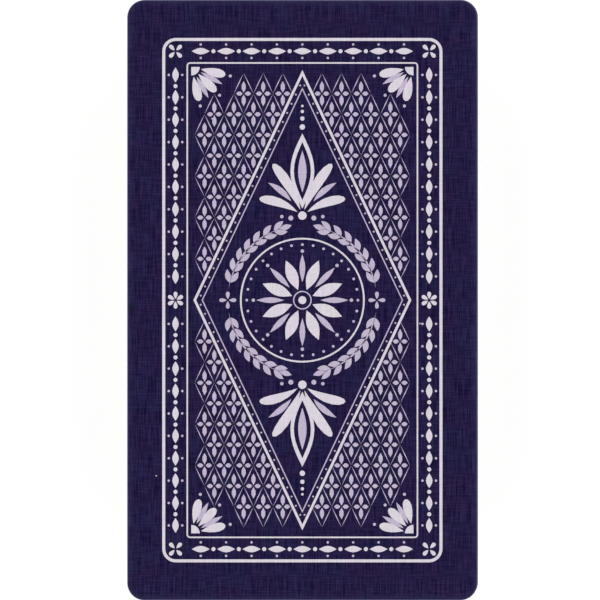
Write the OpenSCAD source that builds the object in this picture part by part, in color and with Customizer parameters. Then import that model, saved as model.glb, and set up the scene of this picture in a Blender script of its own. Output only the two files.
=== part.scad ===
// Tarot card deck: 78 loose cards squared up in one stack, lying on the table with their backs up.
// X runs across the card, Y along it and Z up. The origin is on the table, under the middle of the stack.

/* [Card] */
// Width of a card
card_w = 70; // [44:1:100]
// Length of a card
card_l = 120; // [80:1:160]
// Thickness of the card stock
card_t = 0.33; // [0.2:0.01:0.6]
// Radius of the rounded corners
corner_r = 3.5; // [1:0.1:8]

/* [Stack] */
// Air between two cards that lie on each other
air_gap = 0.02; // [0.01:0.01:0.1]
// How far a card lies out of square with the top card at most
slip = 0.12; // [0:0.01:0.5]
// Card of the numbered suit that lies on the table, since the deck was cut under it
bottom_card = "the_moon"; // [the_fool, the_hermit, death, the_moon, the_world]

/* [Hidden] */
// Turns that scatter the cards across and along the stack
scatter_turns = [98.3, 131.9];
// Smoothness of the round corners
arc_steps = 48;
// Dark blue ink of the backs
back_ink = [0.14, 0.115, 0.25];

// The numbered suit, from 0 up
majors = [
    "the_fool", "the_magician", "the_high_priestess", "the_empress", "the_emperor", "the_hierophant",
    "the_lovers", "the_chariot", "strength", "the_hermit", "wheel_of_fortune", "justice",
    "the_hanged_man", "death", "temperance", "the_devil", "the_tower", "the_star",
    "the_moon", "the_sun", "judgement", "the_world"
];
last_major = len(majors) - 1;
bottom_major = search([bottom_card], majors)[0];

// The four other suits. Their number cards lie in pairs, and their court cards singly
suits = ["wands", "cups", "swords", "pentacles"];
pip_pairs = ["ace_two", "three_four", "five_six", "seven_eight", "nine_ten"];
courts = ["page", "knight", "queen", "king"];

// A packet is a name and the number of cards that it holds
function major_packets(from, to) = [for (i = [from : -1 : to]) [majors[i], 1]];

function suit_packets(suit) = concat(
    [for (i = [len(courts) - 1 : -1 : 0]) [str(courts[i], "_of_", suit), 1]],
    [for (i = [len(pip_pairs) - 1 : -1 : 0]) [str(pip_pairs[i], "_of_", suit), 2]]
);

// The stack from the table up: the order of a new deck, cut once within the numbered suit
packets = concat(
    major_packets(bottom_major, 0),
    [for (i = [len(suits) - 1 : -1 : 0]) each suit_packets(suits[i])],
    major_packets(last_major, bottom_major + 1)
);

top_packet = len(packets) - 1;
card_pitch = card_t + air_gap;

// Cards that lie under packet k
function cards_under(k) = k == 0 ? 0 : cards_under(k - 1) + packets[k - 1][1];

// Number of the top card, counted from the table up, where the lowest card is 0
top_card = cards_under(top_packet) + packets[top_packet][1] - 1;

// Place of a card in the stack. The top card lies square, and the others are scattered without a pattern,
// since their turn hangs on the square of the count from the top
function card_place(number) = concat(
    [for (turn = scatter_turns) slip * sin(pow(top_card - number, 2) * turn)],
    number * card_pitch
);

echo(stack_height = top_card * card_pitch + card_t);

// Outline of a card: a cross of two rectangles with a round in each corner
module card_outline() {
    square([card_w - 2 * corner_r, card_l], center = true);
    square([card_w, card_l - 2 * corner_r], center = true);
    for (side = [-1, 1], end = [-1, 1])
        translate([side * (card_w / 2 - corner_r), end * (card_l / 2 - corner_r)])
            circle(r = corner_r, $fn = arc_steps);
}

// One card, lying on the plane z = 0
module card() {
    color(back_ink)
        linear_extrude(card_t)
            card_outline();
}

// The cards of packet k, in their place in the stack
module packet_cards(k) {
    for (i = [0 : packets[k][1] - 1])
        translate(card_place(cards_under(k) + i))
            card();
}

for (k = [0 : top_packet])
    packet_cards(k);
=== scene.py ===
"""Looks of the tarot deck: linen card stock with dark blue backs, and the print on the cards.

Every card keeps its CAD solid, which gets a card stock material. The print lies on the cards as films of
ink that ride on the card's own body, so that it stays in place when the deck is fanned, cut or dealt.
"""

import math

import bmesh
import bpy
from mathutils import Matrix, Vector


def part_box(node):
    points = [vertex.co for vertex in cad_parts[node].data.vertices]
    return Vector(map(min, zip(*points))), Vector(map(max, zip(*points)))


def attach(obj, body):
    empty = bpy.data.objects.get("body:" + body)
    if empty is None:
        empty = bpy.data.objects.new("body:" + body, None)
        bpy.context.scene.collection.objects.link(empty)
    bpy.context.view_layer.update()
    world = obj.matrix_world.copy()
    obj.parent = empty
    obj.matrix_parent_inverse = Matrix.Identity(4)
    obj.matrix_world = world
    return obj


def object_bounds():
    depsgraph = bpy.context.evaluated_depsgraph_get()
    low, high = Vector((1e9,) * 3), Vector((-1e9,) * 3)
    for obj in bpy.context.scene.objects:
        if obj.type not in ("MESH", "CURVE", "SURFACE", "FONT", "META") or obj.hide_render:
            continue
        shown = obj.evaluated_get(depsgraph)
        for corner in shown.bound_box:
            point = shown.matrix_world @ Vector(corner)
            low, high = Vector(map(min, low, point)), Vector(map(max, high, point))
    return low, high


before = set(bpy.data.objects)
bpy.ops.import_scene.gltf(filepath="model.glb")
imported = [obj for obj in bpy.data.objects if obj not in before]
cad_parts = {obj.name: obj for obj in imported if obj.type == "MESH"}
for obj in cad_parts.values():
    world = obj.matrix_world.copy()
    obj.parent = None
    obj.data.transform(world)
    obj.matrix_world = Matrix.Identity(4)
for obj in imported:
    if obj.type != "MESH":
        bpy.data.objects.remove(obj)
cad_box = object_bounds()

MM = 0.001

# The card that lies on top gives the size of every card, in millimetres
TOP_CARD = "the_sun"
BOTTOM_CARD = "the_moon"
card_low, card_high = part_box(TOP_CARD)
HALF_W = (card_high.x - card_low.x) / 2 / MM
HALF_L = (card_high.y - card_low.y) / 2 / MM
CARD_T = (card_high.z - card_low.z) / MM
CORNER_R = 3.5
CARDS = 78
CARD_PITCH = (cad_box[1].z / MM - CARD_T) / (CARDS - 1)

# The photograph's frame, in pixels, and where the card lies in it
PHOTO_SIDE = 600
PHOTO_CARD_MIDDLE = 302.35, 300.15
PHOTO_PX_PER_MM = 5.004


# Outlines of printed shapes, in millimetres from the card's middle. Headings are in degrees from +X.

# Bend of a straight spine, in radians, which is too small to be seen but not 0
STRAIGHT = 1e-6


def at(x, y, heading, r):
    """Point at a distance r from (x, y)."""
    return x + r * math.cos(math.radians(heading)), y + r * math.sin(math.radians(heading))


def along_spine(edge, start, heading, length, bend):
    """Outline of a shape that is symmetric about a spine, which turns by bend degrees on its way.

    The edge is a list of pairs: the share of the spine's length, and the half width there.
    """
    right, left = [], []
    turn = math.radians(bend) or STRAIGHT
    first = math.radians(heading)
    for share, half_width in edge:
        now = first + turn * share
        x = start[0] + length / turn * (math.sin(now) - math.sin(first))
        y = start[1] - length / turn * (math.cos(now) - math.cos(first))
        right.append((x + half_width * math.sin(now), y - half_width * math.cos(now)))
        left.append((x - half_width * math.sin(now), y + half_width * math.cos(now)))
    return right + left[-2:0:-1]


def leaf(start, heading, length, width, bend=0, steps=6):
    """A leaf that is pointed at both ends and widest half way."""
    edge = [(i / steps, width / 2 * math.sin(math.pi * i / steps)) for i in range(steps + 1)]
    return along_spine(edge, start, heading, length, bend)


def petal(start, heading, length, width, bend=0, steps=8):
    """A petal that starts in a point and ends round."""
    edge = []
    for i in range(steps + 1):
        turn = math.pi * i / steps
        share = (1 - math.cos(turn)) / 2
        edge.append((share, width / 2 * math.sin(turn) * math.sqrt(share)))
    return along_spine(edge, start, heading, length, bend)


def dot(middle, r, steps=12):
    return [at(*middle, 360 * i / steps, r) for i in range(steps)]


def rounded_box(half_x, half_y, r, steps=8):
    points = []
    for quarter, (side, end) in enumerate([(1, 1), (-1, 1), (-1, -1), (1, -1)]):
        middle = side * (half_x - r), end * (half_y - r)
        points += [at(*middle, 90 * (quarter + i / steps), r) for i in range(steps + 1)]
    return points


def lozenge(half_x, half_y):
    return [(half_x, 0), (0, half_y), (-half_x, 0), (0, -half_y)]


def bar(start, end, width):
    """Straight stroke with square ends."""
    (x0, y0), (x1, y1) = start, end
    reach = width / 2 / math.dist(start, end)
    dx, dy = (x1 - x0) * reach, (y1 - y0) * reach
    return [(x0 + dy, y0 - dx), (x1 + dy, y1 - dx), (x1 - dy, y1 + dx), (x0 - dy, y0 + dx)]


def crescent(middle, r, bite, steps=32):
    """Moon with its horns to the right: a circle, less the same circle moved aside."""
    horn = math.degrees(math.acos(bite / 2 / r))
    outer = [at(*middle, horn + (360 - 2 * horn) * i / steps, r) for i in range(steps + 1)]
    aside = middle[0] + bite, middle[1]
    inner = [at(*aside, 180 + horn * (1 - 2 * i / steps), r) for i in range(1, steps)]
    return outer + inner


# A shape is a tone of ink, an outline and, for a ring, the outline of its hole

BRIGHT, SOFT, GOLD, DARK = range(4)


def bright(*outlines):
    return [(BRIGHT, outline, None) for outline in outlines]


def soft(*outlines):
    return [(SOFT, outline, None) for outline in outlines]


def gold(*outlines):
    return [(GOLD, outline, None) for outline in outlines]


def dark(*outlines):
    return [(DARK, outline, None) for outline in outlines]


def circle_rule(tone, middle, r, width, steps):
    return [(tone, dot(middle, r + width / 2, steps), dot(middle, r - width / 2, steps))]


def box_rule(tone, half_x, half_y, r, width):
    """Rule round a rectangle, whose middle line has these half sizes and this corner radius."""
    w = width / 2
    outer = rounded_box(half_x + w, half_y + w, r + w)
    inner = rounded_box(half_x - w, half_y - w, r - w)
    return [(tone, outer, inner)]


def lozenge_rule(tone, half_x, half_y, width):
    """Rule round a lozenge, as wide across on all sides."""
    slant = math.hypot(half_x, half_y) * width / 2
    grow_x, grow_y = slant / half_y, slant / half_x
    outer = lozenge(half_x + grow_x, half_y + grow_y)
    inner = lozenge(half_x - grow_x, half_y - grow_y)
    return [(tone, outer, inner)]


def mapped(shapes, move):
    """The shapes with each point moved by a function of x and y."""
    return [
        (tone, [move(*p) for p in outline], hole and [move(*p) for p in hole])
        for tone, outline, hole in shapes
    ]


def both_sides(shapes):
    return shapes + mapped(shapes, lambda x, y: (-x, y))


def both_ends(shapes):
    return shapes + mapped(shapes, lambda x, y: (x, -y))


def four_corners(shapes):
    return both_ends(both_sides(shapes))


# Print of the backs: a border of rules and leaves round a field of small flowers, with a lozenge in it

SIDE_MARGIN = 7.0
END_MARGIN = 7.6
RULE_W = 0.6
RULE_R = 2.4
THIN_RULE_W = 0.3
THIN_RULE_R = 0.6
BAND_W = 4.7
RULE_X = HALF_W - SIDE_MARGIN - RULE_W / 2
RULE_Y = HALF_L - END_MARGIN - RULE_W / 2
BAND_X = RULE_X - BAND_W / 2
BAND_Y = RULE_Y - BAND_W / 2
FIELD_X = RULE_X - BAND_W
FIELD_Y = RULE_Y - BAND_W
BAND_FLOWER = 2.5


def garland(leaves, start, end):
    """Leaves in a row along X from start to end.

    A dot lies between two leaves, and a smaller one on each side of a leaf.
    """
    gap, leaf_w = 0.75, 1.3
    dot_r, side_dot_r, side_dot_y = 0.42, 0.25, 1.35
    step = (end - start) / leaves
    shapes = []
    for i in range(leaves):
        x = start + i * step
        shapes += bright(leaf((x + gap, 0), 0, step - 2 * gap, leaf_w))
        for side in (-1, 1):
            shapes += soft(dot((x + step / 2, side * side_dot_y), side_dot_r, steps=8))
    for i in range(1, leaves):
        shapes += bright(dot((start + i * step, 0), dot_r, steps=10))
    return shapes


def band_flower(middle, petals, first):
    """Small flower in the border, whose first petal has this heading."""
    heart_r, petal_l, petal_w = 0.25, 1.45, 1.05
    shapes = []
    for i in range(petals):
        heading = first + 360 * i / petals
        shapes += bright(petal(at(*middle, heading, heart_r), heading, petal_l, petal_w))
    return shapes


def border():
    """Thick outer rule and thin inner rule.

    Between them lies a garland, with flowers at the corners and half way up the sides.
    """
    side_leaves, end_leaves = 10, 9
    shapes = box_rule(BRIGHT, RULE_X, RULE_Y, RULE_R, RULE_W)
    shapes += box_rule(BRIGHT, FIELD_X, FIELD_Y, THIN_RULE_R, THIN_RULE_W)
    side_garland = garland(side_leaves, BAND_FLOWER, BAND_Y - BAND_FLOWER)
    end_garland = garland(end_leaves, BAND_FLOWER - BAND_X, BAND_X - BAND_FLOWER)
    shapes += four_corners(mapped(side_garland, lambda x, y: (BAND_X + y, x)))
    shapes += both_ends(mapped(end_garland, lambda x, y: (x, BAND_Y + y)))
    shapes += four_corners(band_flower((BAND_X, BAND_Y), petals=4, first=45))
    shapes += both_sides(band_flower((BAND_X, 0), petals=6, first=30))
    return shapes


LOZENGE_SIDE_GAP = 1.5
LOZENGE_END_GAP = 2.0
LOZENGE_X = FIELD_X - LOZENGE_SIDE_GAP
LOZENGE_Y = FIELD_Y - LOZENGE_END_GAP
LOZENGE_INSET = 1.5
FAN_R = 8.6


def lozenge_frame():
    """Bright rule and thin soft rule, with a row of beads between them."""
    rule_w, inner_rule_w = 0.5, 0.22
    beads, bead_r = 24, 0.2
    inner_x = LOZENGE_X - LOZENGE_INSET
    inner_y = inner_x * LOZENGE_Y / LOZENGE_X
    shapes = lozenge_rule(BRIGHT, LOZENGE_X, LOZENGE_Y, rule_w)
    shapes += lozenge_rule(SOFT, inner_x, inner_y, inner_rule_w)
    bead_x = (LOZENGE_X + inner_x) / 2
    bead_y = (LOZENGE_Y + inner_y) / 2
    row = []
    for i in range(beads):
        share = (i + 0.5) / beads
        row += soft(dot((bead_x * (1 - share), bead_y * share), bead_r, steps=6))
    return shapes + four_corners(row)


def small_flower(x, y):
    """Four leaves, longer along the card than across it."""
    heart_r, across, along, leaf_w = 0.2, 1.3, 2.3, 0.95
    shapes = []
    for heading, length in ((0, across), (90, along), (180, across), (270, along)):
        shapes += soft(leaf(at(x, y, heading, heart_r), heading, length, leaf_w, steps=3))
    return shapes


def flower_field():
    """Small flowers in the cells of a trellis, which runs along the lozenge's sides."""
    cells, line_w = 11, 0.2
    side_clear, end_clear, fan_clear = 1.8, 2.8, 2.0
    cell_x = LOZENGE_X / cells
    cell_y = LOZENGE_Y / cells

    def has_flower(i, j):
        x, y = i * cell_x, j * cell_y
        in_rule = x < FIELD_X - side_clear and y < FIELD_Y - end_clear
        off_fan = math.hypot(FIELD_X - x, FIELD_Y - y) > FAN_R + fan_clear
        return (i + j) % 2 == 0 and in_rule and off_fan and i + j > cells

    shapes, lines = [], set()
    for i in range(cells + 1):
        for j in range(cells + 1):
            if not has_flower(i, j):
                continue
            shapes += small_flower(i * cell_x, j * cell_y)
            right, left, top, foot = (i + 1, j), (i - 1, j), (i, j + 1), (i, j - 1)
            lines |= {(left, top), (foot, right)}
            lines |= {(top, right), (left, foot)}
    for (i, j), (far_i, far_j) in sorted(lines):
        if i + j == cells and far_i + far_j == cells:
            # The lozenge's own rule is the side of this cell
            continue
        start = i * cell_x, j * cell_y
        end = far_i * cell_x, far_j * cell_y
        heading = math.degrees(math.atan2(end[1] - start[1], end[0] - start[0]))
        shapes += soft(leaf(start, heading, math.dist(start, end), line_w, steps=2))
    return four_corners(shapes)


def corner_fan():
    """Quarter of a round flower in each corner of the field."""
    inset, heart_r, heart_steps = 0.8, 1.7, 6
    petal_from, petal_clear, petal_w = 2.0, 1.6, 2.3
    leaf_from, leaf_clear, leaf_w = 2.2, 1.5, 1.05
    dot_clear, dot_r = 0.6, 0.32
    petal_l = FAN_R - petal_from - petal_clear
    leaf_l = FAN_R - leaf_from - leaf_clear
    hub = FIELD_X - inset, FIELD_Y - inset
    arc = [at(*hub, 180 + 90 * i / heart_steps, heart_r) for i in range(heart_steps + 1)]
    shapes = bright([hub] + arc)
    for heading in (193, 225, 257):
        shapes += bright(petal(at(*hub, heading, petal_from), heading, petal_l, petal_w))
        shapes += soft(dot(at(*hub, heading, FAN_R - dot_clear), dot_r, steps=8))
    for heading in (209, 241):
        shapes += soft(leaf(at(*hub, heading, leaf_from), heading, leaf_l, leaf_w))
    return four_corners(shapes)


MEDALLION_R = 12.3
WREATH_R = 14.9


def medallion():
    """A flower within a ring of beads and a thin rule."""
    middle = 0, 0
    rule_w, eye_rule_r, eye_rule_w, eye_r = 0.34, 1.75, 0.24, 0.8
    beads, bead_inset, bead_r = 32, 1.2, 0.28
    petals, petal_from, petal_l, petal_w = 8, 2.2, 6.4, 2.3
    leaf_from, leaf_l, leaf_w = 3.6, 5.6, 1.15
    dot_from, dot_r = 9.8, 0.36
    shapes = circle_rule(BRIGHT, middle, MEDALLION_R, rule_w, steps=72)
    shapes += circle_rule(SOFT, middle, eye_rule_r, eye_rule_w, steps=24)
    shapes += bright(dot(middle, eye_r, steps=16))
    for i in range(beads):
        bead = at(*middle, 360 * i / beads, MEDALLION_R - bead_inset)
        shapes += soft(dot(bead, bead_r, steps=8))
    for i in range(petals):
        heading = 360 * (i + 0.5) / petals
        shapes += bright(leaf(at(*middle, heading, petal_from), heading, petal_l, petal_w, steps=8))
        between = 360 * i / petals
        shapes += soft(leaf(at(*middle, between, leaf_from), between, leaf_l, leaf_w))
        shapes += soft(dot(at(*middle, between, dot_from), dot_r, steps=8))
    return shapes


def wreath():
    """Four leafy sprays round the medallion, which grow from its sides to its ends."""
    stem_from, stem_to, stem_w = 9, 72, 0.34
    pairs, leaf_l, leaf_w, leaf_aside, leaf_bend = 7, 2.8, 1.15, 36, 24
    tip_l, tip_w = 2.6, 1.1
    knot_r, knot_petal_l, knot_petal_w = 0.2, 1.5, 1.0
    bend = stem_to - stem_from
    stem_l = math.radians(bend) * WREATH_R
    start = at(0, 0, stem_from, WREATH_R)
    shapes = soft(leaf(start, stem_from + 90, stem_l, stem_w, bend=bend, steps=12))
    for i in range(pairs):
        around = stem_from + bend * (i + 0.5) / pairs
        place = at(0, 0, around, WREATH_R)
        for side in (-1, 1):
            heading = around + 90 + side * leaf_aside
            shapes += soft(leaf(place, heading, leaf_l, leaf_w, bend=-side * leaf_bend))
    shapes += soft(leaf(at(0, 0, stem_to, WREATH_R), stem_to + 90, tip_l, tip_w))
    knot = []
    for heading in (0, 90, 180, 270):
        knot += soft(petal(at(WREATH_R, 0, heading, knot_r), heading, knot_petal_l, knot_petal_w))
    return four_corners(shapes) + both_sides(knot)


LILY_GAP = 4.6
LILY_Y = MEDALLION_R + LILY_GAP


def lilies():
    """A flower with a tall bud above the medallion, and another below it.

    A row of dots leads from each bud to the lozenge's tip.
    """
    up = 90
    foot, foot_r = (0, LILY_Y), 0.85
    bud_from, bud_l, bud_w = 1.4, 15, 4.8
    hollow_from, hollow_l, hollow_w = 1.7, 11.6, 3.4
    heart_from, heart_l, heart_w = 3.2, 8.4, 1.7
    petal_from = 1.2
    leaf_heading, leaf_from, leaf_l, leaf_w, leaf_bend = 52, 3.6, 6.0, 1.2, 26
    bud = at(*foot, up, bud_from)
    bud_outer = leaf(bud, up, bud_l, bud_w, steps=10)
    bud_inner = leaf(at(*bud, up, hollow_from), up, hollow_l, hollow_w, steps=10)
    shapes = [(BRIGHT, bud_outer, bud_inner)]
    shapes += soft(leaf(at(*bud, up, heart_from), up, heart_l, heart_w, steps=8))
    shapes += bright(dot(foot, foot_r, steps=16))
    for rise, r in ((17.7, 0.55), (19.4, 0.44), (20.8, 0.34), (21.9, 0.26)):
        shapes += bright(dot(at(*foot, up, rise), r, steps=10))
    side = []
    for aside, length, width, bend in ((20, 10.8, 2.6, 22), (54, 8.2, 2.4, 34)):
        start = at(*foot, up - aside, petal_from)
        side += bright(petal(start, up - aside, length, width, bend=-bend))
    start = at(*foot, leaf_heading, leaf_from)
    side += soft(leaf(start, leaf_heading, leaf_l, leaf_w, bend=-leaf_bend))
    side += soft(dot((2.3, LILY_Y - 0.5), 0.5))
    side += soft(dot((4.1, LILY_Y - 0.2), 0.36, steps=8))
    return both_ends(shapes + both_sides(side))


def back_print():
    shapes = border() + flower_field() + corner_fan() + lozenge_frame()
    return shapes + medallion() + wreath() + lilies()


# Print of the two faces that can be seen: the card that is turned over, and the card at the bottom

PICTURE_INSET = 6.2
PICTURE_X = HALF_W - PICTURE_INSET
PICTURE_Y = HALF_L - PICTURE_INSET
PICTURE_R = 1.2
PICTURE_RULE_W = 0.3
TITLE_H = 8.0
TITLE_Y = PICTURE_Y - TITLE_H


def numeral(text, middle):
    """Roman numeral of strokes with feet and heads."""
    widths = {"I": 0.0, "V": 2.2, "X": 2.4}
    height, stroke, space = 4.0, 0.5, 1.5
    foot_reach, foot_w = 0.6, 0.3
    x = middle[0] - (sum(widths[c] for c in text) + space * (len(text) - 1)) / 2
    low_y, high_y = middle[1] - height / 2, middle[1] + height / 2
    shapes = []
    for c in text:
        left, right = x, x + widths[c]
        half = (left + right) / 2
        strokes = {
            "I": [((left, low_y), (left, high_y))],
            "V": [((left, high_y), (half, low_y)), ((right, high_y), (half, low_y))],
            "X": [((left, low_y), (right, high_y)), ((left, high_y), (right, low_y))],
        }
        for start, end in strokes[c]:
            shapes += dark(bar(start, end, stroke))
            for foot_x, foot_y in (start, end):
                foot = (foot_x - foot_reach, foot_y), (foot_x + foot_reach, foot_y)
                shapes += dark(bar(*foot, foot_w))
        x = right + space
    return shapes


def picture_frame(title):
    """Thin rule round the picture, and a line under the numeral at its top."""
    shapes = box_rule(DARK, PICTURE_X, PICTURE_Y, PICTURE_R, PICTURE_RULE_W)
    shapes += dark(bar((-PICTURE_X, TITLE_Y), (PICTURE_X, TITLE_Y), PICTURE_RULE_W))
    return shapes + numeral(title, (0, (TITLE_Y + PICTURE_Y) / 2))


def hill(tone, rise, swell, waves, phase):
    """Ground from the picture's foot up to a wavy line."""
    steps = 24
    half = PICTURE_X - PICTURE_RULE_W / 2
    low_y = PICTURE_RULE_W / 2 - PICTURE_Y
    outline = [(-half, low_y), (half, low_y)]
    for i in range(steps + 1):
        share = i / steps
        y = rise + swell * math.sin(math.tau * (waves * share + phase))
        outline.append((half - 2 * half * share, y))
    return [(tone, outline, None)]


def sunflower(foot, height):
    """Flower on a stem, with two leaves."""
    stem_w, heart_r = 0.6, 1.5
    petals, petal_from, petal_l, petal_w = 12, 1.2, 3.2, 1.3
    leaf_share, leaf_aside, leaf_l, leaf_w, leaf_bend = 0.35, 50, 5.0, 1.8, 30
    head = at(*foot, 90, height)
    shapes = dark(bar(foot, head, stem_w))
    for i in range(petals):
        heading = 360 / petals * i
        shapes += gold(leaf(at(*head, heading, petal_from), heading, petal_l, petal_w))
    shapes += dark(dot(head, heart_r, steps=16))
    for side in (-1, 1):
        start = at(*foot, 90, height * leaf_share)
        heading = 90 - side * leaf_aside
        shapes += dark(leaf(start, heading, leaf_l, leaf_w, bend=-side * leaf_bend))
    return shapes


def sun_face():
    """A sun with straight and bent rays, over three flowers on a hill."""
    middle = 0, 14.5
    ring_r, ring_w, inner_r, inner_w = 9.0, 1.4, 7.6, 0.3
    rays, ray_from, ray_l, ray_w = 8, 10.4, 13.0, 3.8
    bent_l, bent_w, bend = 11.0, 2.8, 38
    eye_r, leaf_from, leaf_l, leaf_w = 1.0, 1.5, 5.0, 1.5
    dot_from, dot_r = 5.4, 0.6
    shapes = picture_frame("XIX")
    for i in range(rays):
        heading = 360 / rays * i
        shapes += gold(leaf(at(*middle, heading, ray_from), heading, ray_l, ray_w, steps=8))
        shapes += dark(leaf(at(*middle, heading, leaf_from), heading, leaf_l, leaf_w))
        between = heading + 180 / rays
        start = at(*middle, between, ray_from)
        shapes += gold(leaf(start, between, bent_l, bent_w, bend=bend, steps=8))
        shapes += gold(dot(at(*middle, between, dot_from), dot_r))
    shapes += circle_rule(GOLD, middle, ring_r, ring_w, steps=48)
    shapes += circle_rule(DARK, middle, inner_r, inner_w, steps=48)
    shapes += dark(dot(middle, eye_r, steps=16))
    shapes += hill(SOFT, rise=-22, swell=2.6, waves=1.0, phase=0.1)
    shapes += hill(DARK, rise=-40, swell=1.8, waves=1.3, phase=0.6)
    for x, y, height in ((-17, -39, 18), (0, -40, 23), (17, -39, 16)):
        shapes += sunflower((x, y), height)
    return shapes


def moon_face():
    """A crescent in a ring of rays, over hills and water."""
    middle = 0, 14
    moon, moon_r, moon_bite = (-1.5, 14), 11, 7
    ring_r, ring_w = 14.5, 0.3
    rays, ray_from, ray_l, ray_more, ray_w = 16, 15.8, 3.6, 1.6, 1.2
    rows, row_step, first_row_y = 4, 3.0, -40.5
    most_ripples, ripple_step, ripple_l, ripple_w = 6, 8.6, 5.2, 0.8
    shapes = picture_frame("XVIII")
    shapes += gold(crescent(moon, moon_r, moon_bite))
    shapes += circle_rule(DARK, middle, ring_r, ring_w, steps=64)
    for i in range(rays):
        heading = 360 / rays * i
        length = ray_l + ray_more * (i % 2)
        shapes += gold(leaf(at(*middle, heading, ray_from), heading, length, ray_w))
    shapes += hill(SOFT, rise=-22, swell=3.4, waves=1.0, phase=0.35)
    shapes += hill(DARK, rise=-36, swell=1.2, waves=2.0, phase=0.0)
    for row in range(rows):
        ripples = most_ripples - row % 2
        for column in range(ripples):
            x = (column - (ripples - 1) / 2) * ripple_step
            start = x - ripple_l / 2, first_row_y - row_step * row
            shapes += bright(leaf(start, 0, ripple_l, ripple_w))
    return shapes


# Films of ink

# Two prints that face each other, on a back and on a face, fit in the air between two cards.
# Of two inks on one spot, the thicker one shows.
INK_T = {BRIGHT: 0.009, DARK: 0.008, GOLD: 0.007, SOFT: 0.006}
# Name of the flat map that spreads the card's inks over the whole map
PRINT_MAP = "OFBake"


def counter_clockwise(outline):
    area = 0.0
    for (x0, y0), (x1, y1) in zip(outline, outline[1:] + outline[:1]):
        area += x0 * y1 - x1 * y0
    return outline if area > 0 else outline[::-1]


def film_mesh(name, shapes, inks):
    """Closed flat prisms of ink that stand on the plane z = 0, one for each shape."""
    bm = bmesh.new()
    flat_map = bm.loops.layers.uv.new(PRINT_MAP)
    tones = sorted({tone for tone, _, _ in shapes})

    def loop(outline, z):
        return [bm.verts.new((x * MM, y * MM, z * MM)) for x, y in counter_clockwise(outline)]

    def strip(a, b):
        return [bm.faces.new((a[i - 1], a[i], b[i], b[i - 1])) for i in range(len(a))]

    for tone, outline, hole in shapes:
        foot, top = loop(outline, 0), loop(outline, INK_T[tone])
        faces = strip(foot, top)
        if hole:
            hole_foot, hole_top = loop(hole, 0), loop(hole, INK_T[tone])
            faces += strip(hole_top, hole_foot) + strip(top, hole_top) + strip(hole_foot, foot)
        else:
            faces += [bm.faces.new(top), bm.faces.new(foot[::-1])]
        for face in faces:
            face.material_index = tones.index(tone)
            for corner in face.loops:
                x, y, _ = corner.vert.co / MM
                corner[flat_map].uv = 0.5 + x / HALF_W / 2, 0.5 + y / HALF_L / 2
    mesh = bpy.data.meshes.new(name)
    bm.to_mesh(mesh)
    bm.free()
    for tone in tones:
        mesh.materials.append(inks[tone])
    return mesh


def add_object(name, data):
    thing = bpy.data.objects.new(name, data)
    bpy.context.scene.collection.objects.link(thing)
    return thing


# Materials


class Nodes:
    """Short calls for the nodes of a material. A value is a socket, a number or a colour."""

    def __init__(self, name):
        self.material = bpy.data.materials.new(name)
        self.material.use_nodes = True
        self.tree = self.material.node_tree
        self.shader = self.tree.nodes["Principled BSDF"]

    def put(self, socket, value):
        if isinstance(value, bpy.types.NodeSocket):
            self.tree.links.new(value, socket)
        else:
            socket.default_value = value

    def math(self, operation, *values):
        node = self.tree.nodes.new("ShaderNodeMath")
        node.operation = operation
        for socket, value in zip(node.inputs, values):
            self.put(socket, value)
        return node.outputs[0]

    def coordinates(self, output):
        """X, Y and Z of a kind of texture coordinate."""
        source = self.tree.nodes.new("ShaderNodeTexCoord")
        split = self.tree.nodes.new("ShaderNodeSeparateXYZ")
        self.put(split.inputs[0], source.outputs[output])
        return tuple(split.outputs)

    def vector(self, x, y, z):
        node = self.tree.nodes.new("ShaderNodeCombineXYZ")
        for socket, value in zip(node.inputs, (x, y, z)):
            self.put(socket, value)
        return node.outputs[0]

    def noise(self, place, scale, detail=2.0):
        node = self.tree.nodes.new("ShaderNodeTexNoise")
        self.put(node.inputs["Vector"], place)
        node.inputs["Scale"].default_value = scale
        node.inputs["Detail"].default_value = detail
        return node.outputs["Fac"]

    def specks(self, place, spacing, r):
        """1 on small round specks that lie about a spacing apart."""
        node = self.tree.nodes.new("ShaderNodeTexVoronoi")
        node.voronoi_dimensions = "2D"
        self.put(node.inputs["Vector"], place)
        node.inputs["Scale"].default_value = 1 / spacing
        return self.math("LESS_THAN", node.outputs["Distance"], r / spacing)

    def ramp(self, value, start, end):
        """0 below start and 1 above end."""
        node = self.tree.nodes.new("ShaderNodeMapRange")
        self.put(node.inputs["Value"], value)
        node.inputs["From Min"].default_value = start
        node.inputs["From Max"].default_value = end
        return node.outputs[0]

    def mix(self, share, a, b):
        """Colour a where the share is 0, and b where it is 1."""
        node = self.tree.nodes.new("ShaderNodeMix")
        node.data_type = "RGBA"
        # The node has sockets for other types of value too, and these are the ones for colours
        factor, first, second = node.inputs[0], node.inputs[6], node.inputs[7]
        for socket, value in ((factor, share), (first, a), (second, b)):
            self.put(socket, value)
        return node.outputs[2]

    def set(self, **sockets):
        for name, value in sockets.items():
            self.put(self.shader.inputs[name.replace("_", " ")], value)

    def bump(self, height, depth):
        node = self.tree.nodes.new("ShaderNodeBump")
        node.inputs["Strength"].default_value = 1.0
        node.inputs["Distance"].default_value = depth
        self.put(node.inputs["Height"], height)
        self.put(self.shader.inputs["Normal"], node.outputs[0])


def srgb(r, g, b):
    """Colour for a shader from sRGB values of 0 to 255."""

    def linear(c):
        c /= 255
        return c / 12.92 if c <= 0.04045 else ((c + 0.055) / 1.055) ** 2.4

    return linear(r), linear(g), linear(b), 1.0


# Linen finish. Threads along the card are fine and uneven, and those across it are wider and more even.
WARP = 0.2 * MM
WARP_RUN = 5.0 * MM
WEFT = 0.54 * MM
WEFT_RUN = 3.0 * MM
WARP_SHARE = 0.6
WAVE_SHARE = 0.35
LINEN_DEPTH = 0.02 * MM
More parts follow.
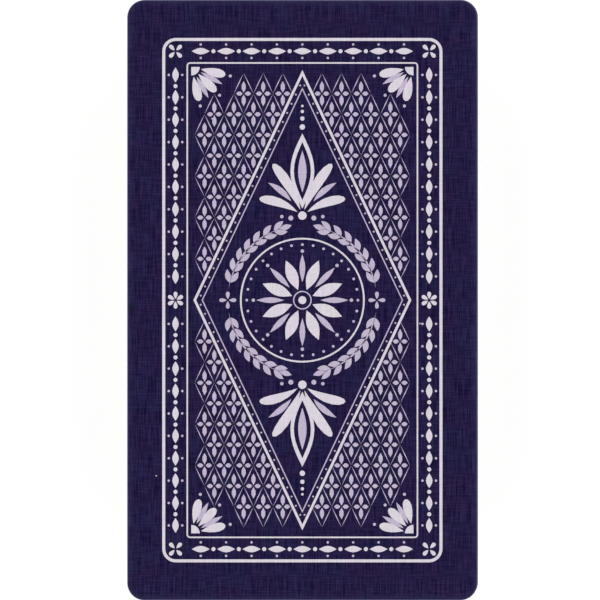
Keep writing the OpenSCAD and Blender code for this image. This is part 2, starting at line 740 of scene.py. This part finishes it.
# Values of a noise between which a thread rises, or a colour changes to another one
THREAD_RISE = 0.39, 0.61
DRIFT_RISE = 0.4, 0.6
DRIFT_SCALE = 200.0

VARNISH_ROUGHNESS = 0.45
VARNISH_SPECULAR = 0.14

# Painted shade in the hollows of the linen on the backs
NAVY_HOLLOW_SHADE = srgb(7, 0, 45)
NAVY_LIGHT = srgb(44, 39, 81)
NAVY_PURPLE = srgb(49, 34, 78)
FACE_LIGHT = srgb(241, 236, 227)
# Painted shade in the hollows of the linen on the faces
FACE_HOLLOW_SHADE = srgb(229, 223, 213)
FACE_RULE = srgb(52, 43, 90)
PAPER = srgb(249, 247, 242)
PAPER_SHADE = srgb(230, 226, 220)
# Colour of the painted highlight along the backs' outline
RIM_HIGHLIGHT = srgb(120, 120, 164)

# Pale rim of the backs, a painted highlight for light caught by the cut edge, at the cut and a little
# further in: from where to where it rises, in millimetres from the outline, and how strong it is
CUT_HIGHLIGHT = -0.25, -0.05
CUT_HIGHLIGHT_COVER = 0.35
WIDE_HIGHLIGHT = -1.4, -0.2
WIDE_HIGHLIGHT_COVER = 0.05

# Rule on the faces, in millimetres: its place within the outline and half its width
FACE_RULE_INSET = 4.2
FACE_RULE_HALF_W = 0.3

# Specks of bare paper on the backs, which each card has in places of its own
SPECK_SPACING = 40 * MM
SPECK_R = 0.14 * MM
SPECK_COVER = 0.6
SPECK_SHIFT = 13.7 * MM

# Line of the back's ink along the cards' edges: from this share of the card pitch up, and how strong
INK_LINE_FROM = 0.84
INK_LINE_COVER = 0.42
# How fast the paper's tone changes from card to card
EDGE_TONE_SCALE = 3.7

# A surface whose normal points up by more than this is a back, and one that points down so is a face
FLAT = 0.5


def linen(nodes):
    """Height of the pressed linen finish, from 0 to 1."""
    x, y, _ = nodes.coordinates("Object")

    def uneven(across, along):
        return nodes.ramp(nodes.noise(nodes.vector(across, along, 0.0), 1.0), *THREAD_RISE)

    warp = uneven(nodes.math("DIVIDE", x, WARP), nodes.math("DIVIDE", y, WARP_RUN))
    pick = nodes.math("DIVIDE", y, WEFT)
    wave = nodes.math("SINE", nodes.math("MULTIPLY", pick, math.tau))
    ridge = nodes.math("MULTIPLY_ADD", wave, WAVE_SHARE, 1 - WAVE_SHARE)
    weft = nodes.math("MULTIPLY", ridge, uneven(pick, nodes.math("DIVIDE", x, WEFT_RUN)))
    cross = nodes.math("MULTIPLY", weft, 1 - WARP_SHARE)
    return nodes.math("MULTIPLY_ADD", warp, WARP_SHARE, cross)


def drift(nodes):
    """Slow change of a colour over the card, from 0 to 1."""
    x, y, z = nodes.coordinates("Object")
    return nodes.ramp(nodes.noise(nodes.vector(x, y, z), DRIFT_SCALE, 1.0), *DRIFT_RISE)


def outline_distance(nodes):
    """Distance from the card's outline in millimetres, which is below 0 on the card."""
    x, y, _ = nodes.coordinates("Generated")

    def past_corner(share, half):
        aside = nodes.math("ABSOLUTE", nodes.math("SUBTRACT", share, 0.5))
        return nodes.math("MULTIPLY_ADD", aside, 2 * half, CORNER_R - half)

    qx, qy = past_corner(x, HALF_W), past_corner(y, HALF_L)
    px, py = nodes.math("MAXIMUM", qx, 0.0), nodes.math("MAXIMUM", qy, 0.0)
    squares = nodes.math("ADD", nodes.math("MULTIPLY", px, px), nodes.math("MULTIPLY", py, py))
    inside = nodes.math("MINIMUM", nodes.math("MAXIMUM", qx, qy), 0.0)
    return nodes.math("SUBTRACT", nodes.math("ADD", nodes.math("SQRT", squares), inside), CORNER_R)


def back_colour(nodes, height, outline, number):
    """Dark blue of the backs, with painted shade in the linen's hollows, a pale painted highlight along
    the outline and a few specks of bare paper.
    """
    light = nodes.mix(drift(nodes), NAVY_LIGHT, NAVY_PURPLE)
    # Painted shade: the navy is darker in the hollows of the linen and lighter on its threads
    colour = nodes.mix(height, NAVY_HOLLOW_SHADE, light)
    # Painted highlight along the outline, for light caught by the cut edge
    cut_highlight = nodes.math("MULTIPLY", nodes.ramp(outline, *CUT_HIGHLIGHT), CUT_HIGHLIGHT_COVER)
    painted_rim = nodes.math("MULTIPLY_ADD", nodes.ramp(outline, *WIDE_HIGHLIGHT), WIDE_HIGHLIGHT_COVER, cut_highlight)
    colour = nodes.mix(painted_rim, colour, RIM_HIGHLIGHT)
    x, y, _ = nodes.coordinates("Object")
    own_x = nodes.math("MULTIPLY_ADD", number, SPECK_SHIFT, x)
    specks = nodes.specks(nodes.vector(own_x, y, 0.0), SPECK_SPACING, SPECK_R)
    return nodes.mix(nodes.math("MULTIPLY", specks, SPECK_COVER), colour, PAPER)


def face_colour(nodes, height, outline):
    """Pale face with a rule along its outline, and painted shade in the linen's hollows."""
    off_rule = nodes.math("ABSOLUTE", nodes.math("ADD", outline, FACE_RULE_INSET))
    rule = nodes.math("LESS_THAN", off_rule, FACE_RULE_HALF_W)
    # Painted shade: the face is darker in the hollows of the linen
    return nodes.mix(rule, nodes.mix(height, FACE_HOLLOW_SHADE, FACE_LIGHT), FACE_RULE)


def edge_colour(nodes, level, number):
    """Paper in a tone of the card's own, with a line of ink under the back."""
    own_tone = nodes.noise(nodes.vector(0.0, 0.0, number), EDGE_TONE_SCALE, 0.0)
    colour = nodes.mix(own_tone, PAPER, PAPER_SHADE)
    ink_line = nodes.math("GREATER_THAN", nodes.math("FRACT", level), INK_LINE_FROM)
    return nodes.mix(nodes.math("MULTIPLY", ink_line, INK_LINE_COVER), colour, NAVY_LIGHT)


def finish(nodes, colour, height):
    """Varnish over a colour, with the linen pressed into it."""
    nodes.set(Base_Color=colour, Roughness=VARNISH_ROUGHNESS, Specular_IOR_Level=VARNISH_SPECULAR)
    nodes.bump(height, LINEN_DEPTH)
    return nodes.material


def card_stock():
    """Card with a dark back, a pale face and paper edges, told apart by the way a surface looks."""
    nodes = Nodes("card_stock")
    height = linen(nodes)
    outline = outline_distance(nodes)
    _, _, z = nodes.coordinates("Object")
    level = nodes.math("DIVIDE", z, CARD_PITCH * MM)
    number = nodes.math("FLOOR", level)
    _, _, facing = nodes.coordinates("Normal")
    is_back = nodes.math("GREATER_THAN", facing, FLAT)
    is_face = nodes.math("LESS_THAN", facing, -FLAT)
    back = back_colour(nodes, height, outline, number)
    colour = nodes.mix(is_back, edge_colour(nodes, level, number), back)
    colour = nodes.mix(is_face, colour, face_colour(nodes, height, outline))
    return finish(nodes, colour, height)


def ink(name, hollow_shade, light, other_light):
    """Ink on the linen finish, with painted shade in its hollows, whose light tone drifts a little to
    another one.
    """
    nodes = Nodes(name)
    height = linen(nodes)
    colour = nodes.mix(height, hollow_shade, nodes.mix(drift(nodes), light, other_light))
    return finish(nodes, colour, height)


# Cards and their print


def lay_film(name, film_data, on_face=False):
    """Lay a film on the back of a card, or turned under its face."""
    low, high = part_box(name)
    film = add_object(name + ("_face_print" if on_face else "_back_print"), film_data)
    film.location = (low + high) / 2
    film.location.z = low.z if on_face else high.z
    film.rotation_euler.y = math.pi if on_face else 0.0
    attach(film, name)


stock = card_stock()
# The first tone of each ink is painted shade in the linen's hollows
inks = {
    BRIGHT: ink("bright_ink", srgb(214, 205, 217), srgb(232, 223, 236), srgb(228, 224, 228)),
    SOFT: ink("soft_ink", srgb(187, 174, 199), srgb(207, 193, 219), srgb(205, 195, 214)),
    GOLD: ink("gold_ink", srgb(196, 152, 72), srgb(216, 172, 88), srgb(211, 170, 96)),
    DARK: ink("dark_ink", srgb(42, 33, 78), srgb(58, 48, 98), srgb(62, 46, 94)),
}
back_film = film_mesh("back_print", back_print(), inks)
for name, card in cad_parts.items():
    card.data.materials.clear()
    card.data.materials.append(stock)
    lay_film(name, back_film)
lay_film(TOP_CARD, film_mesh("sun_face", sun_face(), inks), on_face=True)
lay_film(BOTTOM_CARD, film_mesh("moon_face", moon_face(), inks), on_face=True)


# Stage, light and camera

# Floor, whose size is in metres
FLOOR_HALF = 3.0
FLOOR_DROP = 0.02 * MM
FLOOR_GREY = 0.4, 0.4, 0.4, 1
FLOOR_ROUGHNESS = 0.9
FLOOR_GLOW = 0.71
# Light of the studio, which changes with the height that one looks up to
WHITE = 1, 1, 1, 1
WALLS = 0.9, 0.9, 0.9, 1
WALLS_UP_TO = 0.35
CEILING = 0.1, 0.1, 0.1, 1
CEILING_FROM = 0.85
# Lamps, with their angles in degrees
LAMP_AZIMUTHS = 45, 135, 225, 315
LAMP_ELEVATION = 38
LAMP_SPREAD = 35
LAMP_STRENGTH = 0.72
# Lens and sensor in millimetres, and the nearest place that is seen in metres
LENS = 100.0
SENSOR = 36.0
NEAREST_SEEN = 0.01


def stage_floor():
    """Pale floor that looks white, and keeps a soft shadow."""
    side = FLOOR_HALF
    mesh = bpy.data.meshes.new("floor")
    corners = [(-side, -side, 0), (side, -side, 0), (side, side, 0), (-side, side, 0)]
    mesh.from_pydata(corners, [], [(0, 1, 2, 3)])
    floor = add_object("floor", mesh)
    floor.location.z = -FLOOR_DROP
    nodes = Nodes("floor_white")
    path = nodes.tree.nodes.new("ShaderNodeLightPath")
    seen = nodes.math("MAXIMUM", path.outputs["Is Camera Ray"], path.outputs["Is Glossy Ray"])
    glow = nodes.math("MULTIPLY", seen, FLOOR_GLOW)
    nodes.set(Base_Color=FLOOR_GREY, Roughness=FLOOR_ROUGHNESS, Specular_IOR_Level=0.0)
    nodes.set(Emission_Color=WHITE, Emission_Strength=glow)
    mesh.materials.append(nodes.material)


def soft_lamp(azimuth):
    """Far lamp that is so wide that shadows get soft. Its level is the same all over the floor."""
    name = f"soft_lamp_{azimuth}"
    light = bpy.data.lights.new(name, "SUN")
    light.angle = math.radians(LAMP_SPREAD)
    light.energy = LAMP_STRENGTH
    lamp = add_object(name, light)
    a, e = math.radians(azimuth), math.radians(LAMP_ELEVATION)
    direction = Vector((math.cos(a) * math.cos(e), math.sin(a) * math.cos(e), math.sin(e)))
    lamp.location = direction
    lamp.rotation_euler = direction.to_track_quat("Z", "Y").to_euler()


def studio_world():
    """Bright walls and a darker ceiling, so that the cards' sheen stays low from above."""
    world = bpy.data.worlds.new("studio")
    bpy.context.scene.world = world
    world.use_nodes = True
    tree = world.node_tree
    place = tree.nodes.new("ShaderNodeTexCoord")
    split = tree.nodes.new("ShaderNodeSeparateXYZ")
    tree.links.new(place.outputs["Generated"], split.inputs[0])
    ramp = tree.nodes.new("ShaderNodeValToRGB")
    walls, ceiling = ramp.color_ramp.elements
    walls.position, walls.color = WALLS_UP_TO, WALLS
    ceiling.position, ceiling.color = CEILING_FROM, CEILING
    tree.links.new(split.outputs[2], ramp.inputs[0])
    path = tree.nodes.new("ShaderNodeLightPath")
    mix = tree.nodes.new("ShaderNodeMix")
    mix.data_type = "RGBA"
    tree.links.new(path.outputs["Is Camera Ray"], mix.inputs[0])
    tree.links.new(ramp.outputs[0], mix.inputs[6])
    mix.inputs[7].default_value = WHITE
    tree.links.new(mix.outputs[2], tree.nodes["Background"].inputs["Color"])


def photo_camera():
    """Camera straight above the deck, with the top card as large in the frame as in the photograph."""
    data = bpy.data.cameras.new("camera")
    data.lens = LENS
    data.sensor_width = SENSOR
    data.clip_start = NEAREST_SEEN
    camera = add_object("camera", data)
    middle_x, middle_y = PHOTO_CARD_MIDDLE
    x = (PHOTO_SIDE / 2 - middle_x) / PHOTO_PX_PER_MM
    y = (middle_y - PHOTO_SIDE / 2) / PHOTO_PX_PER_MM
    distance = PHOTO_SIDE / PHOTO_PX_PER_MM * LENS / SENSOR
    camera.location = (x * MM, y * MM, cad_box[1].z + distance * MM)
    bpy.context.scene.camera = camera


bpy.context.scene.view_settings.view_transform = "Standard"
stage_floor()
studio_world()
for azimuth in LAMP_AZIMUTHS:
    soft_lamp(azimuth)
photo_camera()
